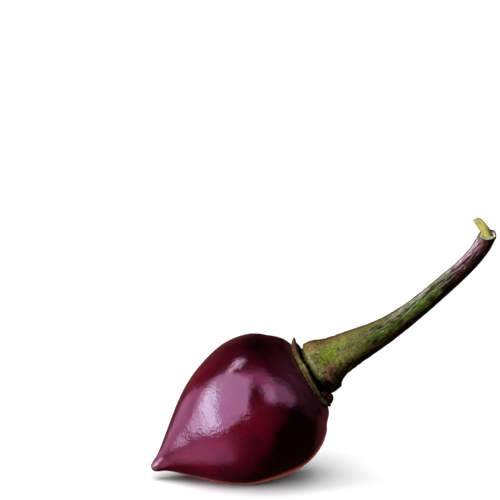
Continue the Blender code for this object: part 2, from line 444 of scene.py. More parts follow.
@dataclass(frozen=True)
class CalyxSkin(Finish):
    """Dull leathery collar: olive with a tan edge, reddish-brown teeth and painted shade in the groove."""

    name: str = "calyx_skin"
    olive: Colour = (0.15, 0.13, 0.03)
    moss: Colour = (0.04, 0.042, 0.008)
    tan: Colour = (0.4, 0.25, 0.13)
    russet: Colour = (0.05, 0.015, 0.009)
    brown: Colour = (0.044, 0.021, 0.011)
    # Painted shade in the groove between the rim and the stalk's foot.
    groove_shade: Colour = (0.066, 0.05, 0.012)
    maroon: Colour = (0.036, 0.004, 0.004)
    roughness: float = 0.68
    gloss: float = 0.16
    bead_roughness: float = 0.25

    def dress(self, graph: Graph) -> None:
        """Mottles the olive, frays the browns over it, and adds the edge, painted shade in the groove, the
        bead and grit.

        Args:
            graph: The material's nodes.
        """
        place = graph.place()
        mottle = graph.noise(place, 0.5, 5.0, 0.7)
        colour = graph.over(graph.range(mottle, 0.43, 0.57), self.moss, self.olive)
        torn = graph.range(graph.noise(place, 0.7, 3.0), 0.3, 0.7, -0.3, 0.3)
        for trait in ("russet", "brown"):
            colour = graph.coat(colour, trait, getattr(self, trait), torn, 0.25)
        worn = graph.range(graph.noise(place, 0.35), 0.35, 0.6, 0.2, 1.0)
        colour = graph.over(graph.times(graph.trait("edge"), worn), colour, self.tan)
        # Painted shade in the groove.
        colour = graph.coat(colour, "groove_shade_mask", self.groove_shade)
        colour = graph.coat(colour, "bead", self.maroon)
        grit = graph.range(graph.noise(place, 0.28, 4.0, 0.7), 0.34, 0.66, 0.25, 1.65)
        graph.set("Base Color", graph.scaled(colour, grit))
        rough = graph.range(mottle, 0.3, 0.7, self.roughness - 0.1, self.roughness + 0.15)
        graph.set("Roughness", graph.between(graph.trait("bead"), rough, self.bead_roughness))
        graph.set("Specular IOR Level", self.gloss)
        lumps = graph.bump(graph.noise(place, 0.45, 3.0, 0.6), 0.06)
        graph.set("Normal", graph.bump(graph.noise(place, 0.16), 0.018, lumps))


@dataclass(frozen=True)
class StalkBark(Finish):
    """Fibrous stalk skin: mottled olive foot, green middle and purple end, brown along the top, with painted
    shade below and in the creases and painted sheen above.
    """

    name: str = "stalk_bark"
    olive: Colour = (0.14, 0.132, 0.022)
    # Dark green of the mottle, and of a paint that is partly painted shade on the shaft's lower side.
    moss: Colour = (0.042, 0.048, 0.008)
    drab: Colour = (0.11, 0.065, 0.022)
    leaf: Colour = (0.03, 0.073, 0.002)
    lime: Colour = (0.128, 0.172, 0.011)
    pale: Colour = (0.23, 0.2, 0.115)
    jade: Colour = (0.13, 0.165, 0.06)
    # Partly a grey waxy bloom and partly painted sheen on the upper side.
    bloom_and_sheen: Colour = (0.135, 0.145, 0.095)
    # Partly a lilac bloom and partly painted sheen on the upper side of the purple end.
    lilac_and_sheen: Colour = (0.235, 0.14, 0.195)
    amber: Colour = (0.145, 0.078, 0.009)
    blotch: Colour = (0.215, 0.082, 0.052)
    # Dark brown marks, and painted shade on the underside and round the foot.
    umber_and_shade: Colour = (0.036, 0.019, 0.006)
    plum: Colour = (0.032, 0.003, 0.006)
    magenta: Colour = (0.1, 0.012, 0.036)
    # Dark flecks and cracks, and painted shade in the creases, on the underside and round the foot.
    soot_and_shade: Colour = (0.004, 0.002, 0.001)
    roughness: float = 0.24
    foot_roughness: float = 0.6
    gloss: float = 0.30

    def dress(self, graph: Graph) -> None:
        """Streaks the shaft and mottles the foot, lays the paints over both, some of them painted shade and
        sheen, and adds flakes and painted shade in the creases.

        Args:
            graph: The material's nodes.
        """
        place, fibre, foot = graph.place(), graph.fibre_place(), graph.trait("foot")
        streaks = graph.noise(fibre, 0.42, 4.0, 0.7)
        pattern = graph.between(foot, streaks, graph.noise(place, 0.85, 5.0, 0.65))
        colour = graph.over(graph.range(pattern, 0.36, 0.60), self.moss, self.olive)
        drab = graph.range(graph.noise(place, 0.45, 3.0, 0.6), 0.52, 0.70, 0.0, 0.4)
        colour = graph.over(graph.times(drab, graph.between(foot, 0.1, 1.0)), colour, self.drab)
        hairs = graph.noise(fibre, 0.20, 3.0, 0.7)
        specks = graph.noise(place, 0.20, 3.0, 0.7)
        soft = graph.range(pattern, 0.30, 0.70, -0.22, 0.22)
        fine = graph.range(specks, 0.34, 0.66, -0.40, 0.40)
        torn = graph.range(pattern, 0.32, 0.68, -0.42, 0.42)
        # Moss, umber and soot paint shade as well as colour; bloom and lilac paint sheen as well as colour.
        for trait, edge in (
            ("moss", torn), ("leaf", soft), ("plum", torn), ("bloom_and_sheen", torn), ("lilac_and_sheen", torn), ("lime", soft),
            ("jade", soft), ("pale", fine), ("amber", torn), ("blotch", fine), ("magenta", torn),
            ("umber_and_shade", torn), ("soot_and_shade", torn),
        ):
            colour = graph.coat(colour, trait, getattr(self, trait), edge)
        worn = graph.range(hairs, 0.36, 0.64, 0.30, 1.50)
        speckled = graph.range(specks, 0.34, 0.66, 0.62, 1.28)
        colour = graph.scaled(colour, graph.between(foot, worn, speckled))
        flaked = graph.range(graph.noise(fibre, 0.30, 4.0, 0.8), 0.53, 0.64)
        colour = graph.over(graph.times(flaked, graph.trait("flaky")), colour, self.soot_and_shade)
        # Painted shade in the creases.
        colour = graph.coat(colour, "crease", self.soot_and_shade)
        graph.set("Base Color", graph.coat(colour, "dots", self.pale))
        rough = graph.range(streaks, 0.3, 0.7, self.roughness - 0.05, self.roughness + 0.12)
        graph.set("Roughness", graph.between(foot, rough, self.foot_roughness))
        graph.set("Specular IOR Level", self.gloss)
        fibres = graph.bump(streaks, 0.045)
        graph.set("Normal", graph.bump(graph.between(foot, hairs, specks), 0.022, fibres))


@dataclass(frozen=True)
class CutFlesh(Finish):
    """Pale moist tissue of the cut end and the torn sliver, with painted shade in olive where they meet."""

    name: str = "cut_flesh"
    cream: Colour = (0.66, 0.64, 0.44)
    green: Colour = (0.4, 0.45, 0.2)
    straw: Colour = (0.6, 0.56, 0.17)
    ochre: Colour = (0.38, 0.32, 0.075)
    # Painted shade where the sliver stands over the cut.
    olive: Colour = (0.07, 0.065, 0.012)
    ash: Colour = (0.42, 0.43, 0.3)
    roughness: float = 0.42
    # How far light of each colour travels inside, in millimetres.
    depths: Colour = (0.9, 0.8, 0.3)

    def dress(self, graph: Graph) -> None:
        """Greens the middle of the cut, lays straw lines and ash over the sliver, and paints shade in olive
        where the sliver meets the cut.

        Args:
            graph: The material's nodes.
        """
        mottle = graph.noise(graph.place(), 0.22, 4.0, 0.6)
        lines = graph.noise(graph.fibre_place(), 0.13, 3.0)
        colour = graph.over(graph.range(graph.trait("pith"), 0.2, 0.8), self.cream, self.green)
        straw = graph.over(graph.range(lines, 0.38, 0.66), self.ochre, self.straw)
        # The olive is painted shade.
        for trait, paint in (("sliver", straw), ("ash", self.ash), ("olive", self.olive)):
            colour = graph.coat(colour, trait, paint)
        graph.set("Base Color", graph.scaled(colour, graph.range(mottle, 0.3, 0.7, 0.75, 1.0)))
        graph.set("Roughness", graph.range(mottle, 0.3, 0.7, self.roughness - 0.08, self.roughness + 0.12))
        graph.set("Subsurface Weight", 0.25)
        graph.set("Subsurface Radius", tuple(depth * MM for depth in self.depths))
        graph.set("Subsurface Scale", 1.0)
        graph.set("Normal", graph.bump(graph.between(graph.trait("sliver"), mottle, lines), 0.03))


@dataclass(frozen=True)
class PaleFloor(Finish):
    """Matt white surface."""

    name: str = "pale_floor"
    white: Colour = (0.92, 0.92, 0.92)

    def dress(self, graph: Graph) -> None:
        """Makes the shader plain, white and without any shine."""
        for name, value in (("Base Color", self.white), ("Roughness", 1.0), ("Specular IOR Level", 0.0)):
            graph.set(name, value)


# Pieces


@dataclass(frozen=True)
class Paint:
    """A paint and its patches: share of the length, turn in degrees, spread in both and strength."""

    name: str
    patches: Rows

    def cover(self, share: Array, angles: Array) -> Array:
        """Works out how strongly the paint covers a piece.

        Args:
            share: Each ring's place along the piece.
            angles: Each side's turn.

        Returns:
            The strongest of the patches at each ring and side.
        """
        spots = [
            strength * np.outer(hump(share - along, length), hump(degrees_off(angles, turn), width))
            for along, turn, length, width, strength in self.patches
        ]
        return np.max(spots, axis=0)


@dataclass
class Pod:
    """The pod: a blunt cone with a beak, a round belly with a small flat spot, and a shallow crown."""

    skin: PodSkin = PodSkin()
    tilt: float = math.radians(32.9)
    crown_tilt: float = math.radians(29.5)
    crown_lean_start: float = 23.0
    # Distance from the beak's tip along the axis, and radius there.
    outline: Rows = (
        (0, 0), (0.12, 0.4), (0.5, 0.7), (1.3, 1.08), (3.85, 3.05), (7.2, 5.8), (11, 8.18), (14.5, 9.38),
        (18.2, 9.84), (21.8, 8.85), (24.05, 6.65), (24.78, 5.35), (24.92, 4.7), (24.86, 4.1), (24.58, 2.8),
        (24.45, 0),
    )
    rings: int = 240
    sides: int = 288
    crowding: float = 0.3
    # Waves per turn, height as a share of the radius, and phase.
    lobes: Rows = ((2, 0.01, 0.6), (3, 0.009, 1.9))
    belly_drop: float = 0.57
    belly_drop_span: Span = (1.0, 9.0)
    swells: tuple[Grain, ...] = (Grain(0.10, 4.2, 3.1), Grain(0.022, 1.9, 4.1))
    pleats: int = 11
    pleat_height: float = 0.05
    pleat_start: float = 21.0
    # Fuller places on the lower side: distance from the tip, spread along the axis and height.
    fullness: Rows = ((2.6, 1.7, 0.22), (10.0, 7.0, 0.34), (22.4, 2.0, -0.17))
    # The lower shoulder's swell towards the stalk: its radius, spread and height.
    shoulder: tuple[float, ...] = (5.8, 1.0, 0.42)
    # The radii from which fuller places and swells have their whole height.
    full_radius: float = 5.0
    swell_radius: float = 3.0
    # How far before the crown the swells fade out.
    swell_fade: Span = (1.0, 0.1)
    # How far the whole pepper is lifted, which the fuller belly makes up for.
    lift: float = 0.30
    beak_span: Span = (0.1, 1.1)
    # The distance from which the crown is looked for, and the radii between which it turns dull.
    crown_start: float = 18.2
    crown_span: Span = (6.5, 5.6)
    flat_rounding: float = 0.03
    # Turns count from the top: -90 is the viewer's side, 90 the back.
    paints: tuple[Paint, ...] = (
        # Crimson: partly the skin's undertone, partly painted light brightening the lit middle of the
        # viewer's side.
        Paint("crimson", ((0.52, -92, 0.2, 34, 0.9), (0.4, 88, 0.22, 46, 0.8), (0.46, -20, 0.12, 22, 0.5),
            (0.25, -105, 0.18, 50, 0.6), (0.82, -84, 0.07, 16, 0.5))),
        Paint("plum", ((0.38, -75, 0.22, 36, 0.9), (0.55, 130, 0.22, 50, 0.8))),
        # Painted shade, near black on the lower side and the top towards the crown, where no light falls.
        Paint("painted_shade", ((0.67, -132, 0.17, 32, 1.6), (0.8, -112, 0.09, 26, 1), (0.58, -152, 0.16, 26, 1.1),
            (0.44, -148, 0.13, 16, 0.9), (0.7, -22, 0.09, 24, 0.9), (0.72, 40, 0.16, 50, 0.8),
            (0.82, -160, 0.12, 70, 0.8), (0.62, 170, 0.16, 40, 0.7))),
        Paint("ripple", ((0.29, -58, 0.07, 9, 1), (0.37, -66, 0.06, 9, 0.9), (0.44, -76, 0.06, 9, 0.7),
            (0.52, -78, 0.06, 8, 0.25), (0.62, -62, 0.05, 8, 0.12), (0.7, -60, 0.05, 10, 0.35),
            (0.76, -72, 0.04, 10, 0.5), (0.4, 110, 0.16, 50, 0.5))),
    )

    @property
    def crown(self) -> float:
        """The crown's distance from the beak's tip."""
        return self.outline[-1][0]

    @cached_property
    def tip(self) -> Array:
        """The place of the sizes' own zero in the frame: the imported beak's tip, lifted."""
        corners = np.array([vertex.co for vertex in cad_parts["pod"].data.vertices])
        return corners[np.argmin(corners @ axis_direction(self.tilt))] / MM + self.lift * UP

    def centre(self, distance: Union[float, Array]) -> Array:
        """Works out the middle of the pod's cross-section.

        Args:
            distance: How far along the axis from the beak's tip, or several such distances.

        Returns:
            The middle, or one for each distance.
        """
        along = np.asarray(distance, float)[..., None]
        drop = self.belly_drop * smooth_step(along, *self.belly_drop_span)
        return along * axis_direction(self.tilt) - drop * round_axis(self.tilt, 0.0)

    def above_crown(self, height: Union[float, Array]) -> Array:
        """Points on the crown's own axis at this height above the middle of the crown."""
        return self.centre(self.crown) + np.asarray(height)[..., None] * axis_direction(self.crown_tilt)

    def surface(self) -> tuple[Array, Array]:
        """Works out the skin.

        Returns:
            The rings of points, and the distance of each ring from the beak's tip.
        """
        angles = turn_angles(self.sides)
        distance, radius = smooth_curve(self.outline, self.rings + 2, ends=self.crowding)[1:-1].T
        around = np.outer(radius, 1 + waves(angles, self.lobes))
        pleats = self.pleat_height * smooth_step(distance, self.pleat_start, self.crown)
        around += np.outer(pleats, np.cos(self.pleats * angles))
        below = (0.5 - 0.5 * np.cos(angles)) ** 2
        filled = np.minimum(1.0, radius / self.full_radius)
        for place, spread, height in self.fullness:
            around += height * np.outer(hump(distance - place, spread) * filled, below)
        share = smooth_step(distance, self.crown_lean_start, self.crown)
        lean = math.tan(self.tilt - self.crown_tilt) * np.outer(share * radius, np.cos(angles))
        where, spread, height = self.shoulder
        lean += height * np.outer(share * hump(radius - where, spread), below)
        across = round_axis(self.tilt, angles)
        points = self.centre(distance)[:, None] + around[..., None] * across
        points += lean[..., None] * axis_direction(self.tilt)
        fade_start, fade_end = self.swell_fade
        calm = np.minimum(1.0, radius / self.swell_radius)
        calm *= 1 - smooth_step(distance, self.crown - fade_start, self.crown - fade_end)
        for swell in self.swells:
            points += (calm[:, None] * swell.at(points))[..., None] * across
        return points, distance

    def build(self) -> Object:
        """Makes the pod with its flat spot level with the floor.

        Returns:
            The pod's object.
        """
        points, distance = self.surface()
        height = points[..., 2] + self.tip[2]
        points[..., 2] += 0.5 * (np.sqrt(height**2 + self.flat_rounding**2) - height)
        share, angles, rows = np.linspace(0.0, 1.0, self.rings), turn_angles(self.sides), np.ones(self.sides)
        traits = {paint.name: paint.cover(share, angles) for paint in self.paints}
        narrow = smooth_step(np.linalg.norm(points[:, 0] - self.centre(distance), axis=-1), *self.crown_span)
        traits["crown"] = np.outer(narrow * (distance > self.crown_start), rows)
        traits["beak"] = np.outer(1 - smooth_step(distance, *self.beak_span), rows)
        tube = Tube("pod_body", points, self.centre(0.0), self.centre(self.crown), traits)
        made = tube.build(self.tip, self.skin.material())
        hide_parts("pod")
        return made


@dataclass
class Calyx:
    """The collar on the pod's crown: a shallow dish with a wavy, toothed rim."""

    pod: Pod
    skin: CalyxSkin = CalyxSkin()
    # Height above the crown, radius, and share of the rim's rise.
    section: Rows = (
        (0.3, 0, 0), (0.34, 2.8, 0), (0.5, 4.3, 0), (0.52, 4.64, 0), (0.68, 4.86, 0.1), (0.94, 4.94, 0.4),
        (1.2, 4.9, 0.9), (1.3, 4.66, 1), (1.15, 4.28, 0.7), (0.85, 3.95, 0.2), (0.7, 3.5, 0), (0.7, 0, 0),
    )
    rings: int = 120
    sides: int = 360
    rim_radius: float = 4.6
    rim_width: float = 1.0
    rim_low_side: float = 0.03
    ripples: Rows = ((5, 0.06, 0.4), (8, 0.042, 2.1), (19, 0.018, 0.9))
    # The teeth: direction in degrees, 0 at the top, half width and size.
    teeth: Rows = ((0, 17, 1.0), (78, 20, 0.4), (146, 24, 0.5), (-142, 26, 0.55), (-74, 22, 0.35))
    tooth_rise: float = 0.2
    tooth_flare: float = 0.8
    tooth_sharpness: float = 1.35
    nicks: Grain = Grain(0.06, 0.5, 11.0, 2)
    lumps: Grain = Grain(0.05, 0.9, 23.0, 2)
    # The tan edge's radius on the pod's side. Its spread and the span of the groove's painted shade are
    # shares of the section.
    edge_radius: float = 4.76
    edge_spread: float = 0.0070
    groove_span: Span = (0.550, 0.585)
    # How much later the groove's painted shade starts behind the top tooth, and sooner on the lower side.
    groove_late: float = 0.09
    groove_soon: float = 0.098
    # The rim behind the top tooth, on the near and the low side, and where the brown is worn off.
    top: Stretch = Stretch(0, 46, 1.1)
    near: Stretch = Stretch(-104, 38)
    low: Stretch = Stretch(-160, 50)
    bare: Stretch = Stretch(-134, 16, 0.75)

    def tooth_sizes(self, angles: Array) -> Array:
        """Works out the teeth of the rim.

        Args:
            angles: The directions that are asked for.

        Returns:
            The size of the tooth in each direction, and 0 between the teeth.
        """
        direction, half_width, size = np.array(self.teeth).T[..., None]
        near = np.clip(1 - np.abs(degrees_off(angles, direction)) / half_width, 0.0, 1.0)
        return np.max(size * near**self.tooth_sharpness, axis=0)

    def build(self) -> Object:
        """Makes the collar.

        Returns:
            The collar's object.
        """
        angles = turn_angles(self.sides)
        teeth = self.tooth_sizes(angles)
        ripples = waves(angles, self.ripples)
        rise = self.tooth_rise * teeth + ripples + self.rim_low_side * (1 - np.cos(angles))
        height, radius, share = smooth_curve(self.section, self.rings + 2)[1:-1].T
        share = np.clip(share, 0.0, 1.0)
        edge = smooth_step(radius, self.rim_radius - self.rim_width, self.rim_radius)
        around = radius[:, None] + np.outer(edge, ripples) + self.tooth_flare * np.outer(share, teeth)
        across = round_axis(self.pod.crown_tilt, angles)
        axis = axis_direction(self.pod.crown_tilt)
        points = self.pod.above_crown(height)[:, None] + around[..., None] * across
        points += np.outer(share, rise)[..., None] * axis
        points += ((share * edge)[:, None] * self.nicks.at(points))[..., None] * axis
        points += (edge[:, None] * self.lumps.at(points))[..., None] * across
        walked = np.linspace(0.0, 1.0, self.rings)
        top, near, low = self.top.at(angles), self.near.at(angles), self.low.at(angles)
        # Where the groove's painted shade begins: later behind the top tooth, sooner on the near and low
        # sides.
        groove_shade_mask = walked[:, None] - self.groove_late * top + self.groove_soon * np.maximum(near, low)
        edge_place = walked[np.argmax(radius > self.edge_radius)]
        traits = {
            "russet": np.outer(edge, top),
            "brown": np.outer(edge, (0.9 * near + 0.6 * low) * (1 - self.bare.at(angles))),
            "edge": np.outer(hump(walked - edge_place, self.edge_spread), np.ones(self.sides)),
            "groove_shade_mask": smooth_step(groove_shade_mask, *self.groove_span),
        }
        start, end = self.pod.above_crown(height[[0, -1]])
        made = Tube("calyx_collar", points, start, end, traits).build(self.pod.tip, self.skin.material())
        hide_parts("calyx")
        return made


@dataclass
class Bead:
    """The smooth rounded bead at the lowest side of the collar's rim."""

    pod: Pod
    skin: CalyxSkin = CalyxSkin()
    # Right of, behind and above the beak's tip.
    middle: Place = (24.10, -2.30, 10.40)
    long_way: Place = (0.30, 0.0, 0.95)
    half_length: float = 0.86
    half_width: float = 0.60
    half_depth: float = 0.85
    rings: int = 40
    sides: int = 64

    def build(self) -> Object:
        """Makes the bead.

        Returns:
            The bead's object.
        """
        along = self.half_length * unit(self.long_way)
        aside = self.half_width * unit(np.cross(BEHIND, along))
        rise = (math.pi * (np.arange(self.rings) + 1) / (self.rings + 1))[:, None, None]
        angles = turn_angles(self.sides)[:, None]
        round_way = np.cos(angles) * aside + np.sin(angles) * self.half_depth * BEHIND
        points = self.middle - np.cos(rise) * along + np.sin(rise) * round_way
        traits = {"bead": np.ones((self.rings, self.sides))}
        tube = Tube("calyx_bead", points, self.middle - along, self.middle + along, traits)
        made = tube.build(self.pod.tip, self.skin.material())
        return made


@dataclass
class Stalk:
    """The stalk: a swollen foot, a ridged and bending shaft, and a cut end with a raised lip of bark."""

    pod: Pod
    bark: StalkBark = StalkBark()
    flesh: CutFlesh = CutFlesh()
    # Height above the crown, and radius.
    foot: Rows = ((1.0, 3.1), (1.5, 3.2), (1.9, 3.65), (2.3, 3.85))
    foot_lift: float = 0.3
    # Distance to the right of the beak's tip, height above it, and radius.
    route: Rows = (
        (23.4, 14.78, 3.78), (24.2, 15.35, 3.25), (26.8, 16.85, 2.46), (31, 19.15, 1.83),
        (35.15, 22.04, 1.44), (39.79, 25.98, 1.28), (43.64, 29.7, 1.17), (44.84, 31.4, 1.18),
        (45.37, 32.5, 1.2),
    )
    rings: int = 430
    sides: int = 160
    crowding: float = 0.2
    ridges: int = 5
    ridge_height: float = 0.045
    ridge_span: Span = (0.02, 0.2)
    twist: float = math.radians(70)
    swing: float = 0.5
    # The line that the creases on the viewer's side keep to, as share and turn in degrees.
    crease_route: Rows = (
        (0.3, -104), (0.42, -108), (0.5, -114), (0.585, -125), (0.64, -129), (0.76, -126), (0.86, -122),
        (0.95, -114), (1, -110),
    )
    # Creases: degrees round from that line, start and end as shares, and strength.
    creases: Rows = (
        (-1, 0.43, 0.59, 0.6), (2, 0.57, 0.7, 0.9), (-2, 0.64, 0.8, 1), (3, 0.77, 0.9, 1),
        (-5, 0.88, 0.98, 0.7), (16, 0.66, 0.79, 0.8), (19, 0.5, 0.6, 0.2), (24, 0.83, 0.93, 0.6),
        (38, 0.7, 0.82, 0.4), (14, 0.33, 0.42, 0.6), (74, 0.42, 0.8, 0.7), (80, 0.72, 0.97, 0.6),
        (146, 0.4, 0.72, 0.8), (140, 0.68, 0.96, 0.7), (214, 0.38, 0.7, 0.7), (220, 0.66, 0.95, 0.7),
        (290, 0.45, 0.75, 0.6),
    )
    # The creases' wandering: size in degrees, waves along the stalk in radians, and shift at each crease.
    wander: Rows = ((2.5, 31, 2), (1.2, 87, 1))
    crease_end: float = 0.035
    crease_width: float = 0.125
    crease_depth: float = 0.20
    breaks: Grain = Grain(1.4, 0.9, 71.0, 2)
    # The raised edge beside a crease, with its place and width in widths of the crease.
    edge_place: float = 2.8
    edge_width: float = 1.8
    edge_height: float = 0.02
    chalk: Grain = Grain(2.2, 0.42, 77.0)
    chalk_span: Span = (0.6, 0.7)
    # The relief of the skin: fibres, drawn out along it, and the foot's pits and lumps.
    fibres: Grain = Grain(0.034, 0.34, 5.0, 2)
    fibre_stretch: float = 0.24
    pits: Grain = Grain(0.085, 0.62, 17.0, 3)
    pit_radius: float = 3.0
    lumps: Grain = Grain(0.12, 2.3, 29.0)
    foot_span: Span = (0.16, 0.42)
    # Where the paint turns from the foot's to the shaft's, to plum and to flaky, and where it flakes less.
    shaft_span: Span = (0.2, 0.42)
    plum_span: Span = (0.60, 0.80)
    flaky_span: Span = (0.26, 0.44)
    calm: Stretch = Stretch(-150, math.degrees(0.6), 0.35)
    cut_normal: Place = (0.1, -0.32, 0.95)
    cut_shear_rings: int = 46
    lip: float = 0.42
    lip_direction: float = math.radians(38)
    lip_sharpness: float = 3.0
    lip_waves: Grain = Grain(0.35, 0.5, 51.0)
    cut_grain: Grain = Grain(0.04, 0.35, 57.0, 2)
    # Where the cut is painted with olive shade beside the sliver.
    cut_shade: Stretch = Stretch(30, 24)
    # Across the cut: radius share, height in millimetres, and share of the lip's rise.
    cut_section: Rows = (
        (1, 0, 1), (0.985, 0.05, 1.05), (0.93, 0.07, 1), (0.87, 0.02, 0.7), (0.82, -0.06, 0.2),
        (0.76, -0.05, 0), (0.66, 0, 0), (0.5, -0.03, 0), (0.3, -0.1, 0), (0.02, -0.14, 0),
    )
    cut_rings: int = 36
    bark_rings: int = 9
    # Turns count from below: -90 is the viewer's side, 180 the top.
    paints: tuple[Paint, ...] = (
        Paint("amber", ((0.11, -174, 0.1, 22, 0.9), (0.2, -166, 0.12, 18, 0.8), (0.33, 180, 0.12, 20, 0.8),
            (0.43, -174, 0.05, 14, 0.7), (0.12, 150, 0.14, 30, 0.8), (0.09, 60, 0.05, 30, 0.6),
            (0.1, -150, 0.035, 10, 0.6))),
        # Dark brown along the top, and painted shade on the underside and round the foot where it meets the
        # collar.
        Paint("umber_and_shade", ((0.04, 174, 0.04, 16, 0.9), (0.16, 176, 0.14, 12, 0.85), (0.36, 176, 0.12, 14, 0.8),
            (0.03, -24, 0.08, 40, 1.1), (0.15, -14, 0.12, 30, 0.8), (0.22, -48, 0.08, 14, 0.45),
            (0.36, -76, 0.06, 12, 0.75), (0.02, 0, 0.02, 180, 0.7))),
        Paint("lime", ((0.155, -116, 0.055, 24, 0.95), (0.21, -130, 0.065, 20, 0.7),
            (0.16, 100, 0.06, 30, 0.8), (0.27, -132, 0.08, 16, 0.38))),
        Paint("pale", ((0.112, -136, 0.015, 6, 0.5), (0.072, -134, 0.012, 9, 0.55),
            (0.085, -90, 0.022, 11, 0.55), (0.12, -90, 0.016, 6, 0.5), (0.1, 120, 0.022, 18, 0.7))),
        Paint("jade", ((0.07, -112, 0.022, 14, 0.9),)),
        Paint("blotch", ((0.124, -80, 0.036, 13, 1), (0.1, -68, 0.026, 11, 0.85),
            (0.15, 70, 0.03, 14, 0.8))),
        # Darker green, partly painted shade on the shaft's lower side.
        Paint("moss", ((0.285, -94, 0.04, 12, 0.7), (0.34, -76, 0.08, 26, 0.8), (0.46, -70, 0.12, 26, 0.9),
            (0.44, -118, 0.05, 12, 0.7), (0.38, -126, 0.1, 22, 0.8), (0.56, -128, 0.12, 20, 0.8),
            (0.66, -100, 0.08, 30, 0.9))),
        Paint("leaf", ((0.42, -98, 0.1, 20, 0.95), (0.44, -96, 0.05, 10, 1.2),
            (0.575, -102, 0.085, 22, 1.5), (0.47, 90, 0.22, 40, 0.9), (0.29, -112, 0.09, 24, 0.5))),
        # Grey bloom, partly painted sheen on the upper side.
        Paint("bloom_and_sheen", ((0.46, -136, 0.07, 16, 0.65), (0.6, -148, 0.17, 22, 0.9),
            (0.75, -142, 0.1, 20, 0.85), (0.67, -118, 0.06, 14, 0.65), (0.34, -124, 0.035, 12, 0.4))),
        # Lilac bloom, partly painted sheen on the upper side of the end.
        Paint("lilac_and_sheen", ((0.9, -140, 0.1, 24, 1), (0.83, -136, 0.06, 18, 1), (0.96, -132, 0.03, 14, 0.6),
            (0.88, 100, 0.1, 24, 0.6))),
        Paint("magenta", ((0.94, -112, 0.06, 16, 0.9), (0.9, 70, 0.06, 20, 0.7))),
        # Dark cracks and flecks, and painted shade round the foot and along the underside.
        Paint("soot_and_shade", ((0, -95, 0.03, 50, 1.3), (0.02, -58, 0.05, 30, 1.4), (0.058, -62, 0.032, 15, 1.3),
            (0, -46, 0.056, 38, 1), (0, 30, 0.045, 70, 1.2), (0, 160, 0.02, 80, 1.2),
            (0.05, -36, 0.04, 20, 0.6), (0.3, -24, 0.12, 34, 1.1), (0.5, -20, 0.14, 46, 1.5),
            (0.7, -24, 0.14, 52, 1.5), (0.86, -20, 0.12, 46, 1.2), (0.7, -80, 0.07, 22, 0.8),
            (0.86, -88, 0.06, 14, 0.6), (0.41, -84, 0.03, 8, 0.7), (0.475, -98, 0.022, 18, 0.9),
            (0.625, -98, 0.025, 9, 0.8), (0.4, -124, 0.012, 7, 0.8), (0.335, -96, 0.014, 9, 0.8),
            (0.355, -86, 0.02, 9, 0.9))),
    )
    # Pale raised dots: along, turn in degrees and radius in millimetres.
    dots: Rows = (
        (0.51, -47, 0.12), (0.811, -90, 0.09), (0.918, -47, 0.09), (0.402, -100, 0.09), (0.66, 20, 0.1),
        (0.42, 110, 0.12), (0.72, 130, 0.1),
    )
    dot_height: float = 0.05

    @property
    def share(self) -> Array:
        """Each ring's place along the stalk."""
        return np.linspace(0.0, 1.0, self.rings)

    @property
    def angles(self) -> Array:
        """Each side's turn."""
        return turn_angles(self.sides)

    def line(self) -> tuple[Array, Array]:
        """Works out the stalk's bend.

        Returns:
            Its centre points, and its radius at each.
        """
        lift = self.foot_lift * round_axis(self.pod.crown_tilt, 0.0)
        start = [(*(self.pod.above_crown(height) + lift), radius) for height, radius in self.foot]
        rest = [(right, 0.0, height, radius) for right, height, radius in self.route]
        whole = smooth_curve(start + rest, self.rings, ends=self.crowding)
        whole[:, 1] = -self.swing * np.sin(math.pi * self.share) ** 2
        return whole[:, :3], whole[:, 3]

    def creased(self, radii: Array) -> tuple[Array, Array]:
        """Works out the creases.

        Args:
            radii: Each ring's radius.

        Returns:
            How strongly each point lies in a crease, from 0 to 1, and on the edge beside one, likewise.
        """
        share = self.share
        path = np.interp(share, *zip(*self.crease_route))
        inside, edge = np.zeros((2, self.rings, self.sides))
        for number, (aside, start, end, strength) in enumerate(self.creases):
            wander = sum(size * np.sin(count * share + shift * number) for size, count, shift in self.wander)
            away = radii[:, None] * np.radians(degrees_off(self.angles, (path + aside + wander)[:, None]))
            begun = smooth_step(share, start, start + self.crease_end)
            cover = (strength * begun * (1 - smooth_step(share, end - self.crease_end, end)))[:, None]
            inside = np.maximum(inside, cover * hump(away, self.crease_width))
            beside = away - self.edge_place * self.crease_width
            edge = np.maximum(edge, cover * hump(beside, self.edge_width * self.crease_width))
        return inside, edge

    def relief(self, skin: Array, radii: Array) -> Array:
        """Works out the ridges, fibres, pits and lumps.

        Args:
            skin: Each point's place across and along the stalk.
            radii: Each ring's radius.

        Returns:
            How far each point stands out from the round section.
        """
        share = self.share[:, None]
        ridge = np.cos(self.ridges * self.angles + self.twist * share)
        out = self.ridge_height * radii[:, None] * smooth_step(share, *self.ridge_span) * ridge
        foot = 1 - smooth_step(share, *self.foot_span)
        out += self.fibres.at(skin * (1.0, 1.0, self.fibre_stretch)) * (1.0 - 0.4 * foot)
        out += foot * self.pits.at(skin) * np.minimum(1.0, radii / self.pit_radius)[:, None]
        return out + foot * self.lumps.at(skin)

    def dotted(self, length: float, radii: Array) -> Array:
        """Works out the pale dots.

        Args:
            length: The stalk's whole length.
            radii: Each ring's radius.

        Returns:
            How strongly each point lies in a dot, from 0 to 1.
        """
        spots = []
        for place, turn, size in self.dots:
            away = radii[:, None] * np.radians(degrees_off(self.angles, turn))
            spots.append(hump(np.hypot(length * (self.share - place)[:, None], away), size))
        return np.max(spots, axis=0)

